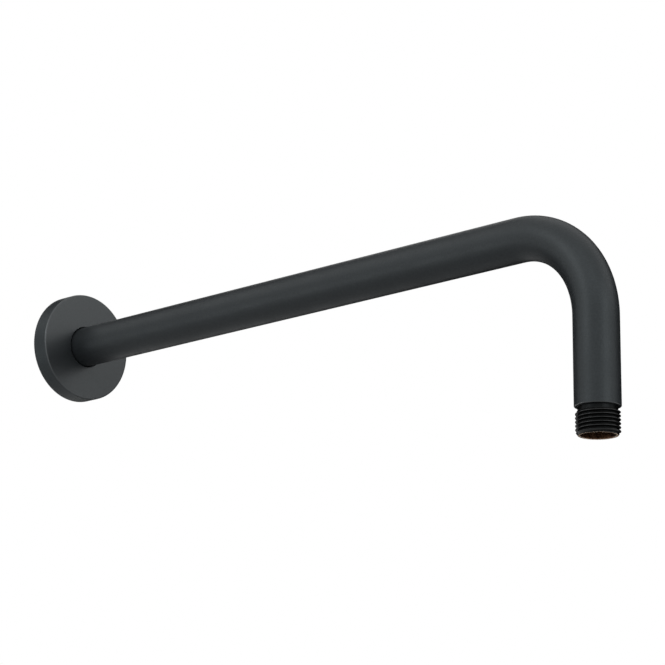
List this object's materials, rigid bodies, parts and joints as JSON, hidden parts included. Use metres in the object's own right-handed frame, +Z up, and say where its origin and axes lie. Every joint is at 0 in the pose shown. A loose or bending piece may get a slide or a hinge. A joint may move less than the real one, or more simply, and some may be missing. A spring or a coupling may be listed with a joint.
{
  "type": "shower arm",
  "caption": "Wall-mounted shower arm: a round black tube that bends down at its outer end, threaded for the wall and for the shower head, with a round cover flange that slides on it.",
  "frame": {"origin": "on the arm's axis, in the plane of the finished wall that the flange sits against", "axes": "+X runs out of the wall along the arm, +Z is up, and the outlet points along -Z"},
  "size_m": [0.401, 0.06, 0.1314],
  "materials": {
    "black_coat": "matte black coat on brass",
    "grip_rubber": "moulded rubber"
  },
  "bodies": {
    "arm": {"arm_tube": "black_coat", "inlet_nipple": "black_coat", "outlet_nipple": "black_coat"},
    "ring": {"grip_ring": "grip_rubber"},
    "flange": {"wall_flange": "black_coat"}
  },
  "joints": [
    {"name": "flange_slide", "type": "slide", "parent": "arm", "child": "ring", "axis": [1, 0, 0], "range_m": [0, 0.319]},
    {"name": "flange_turn", "type": "hinge", "parent": "ring", "child": "flange", "pos_m": [0.00725, 0, 0], "axis": [1, 0, 0], "continuous": true}
  ]
}
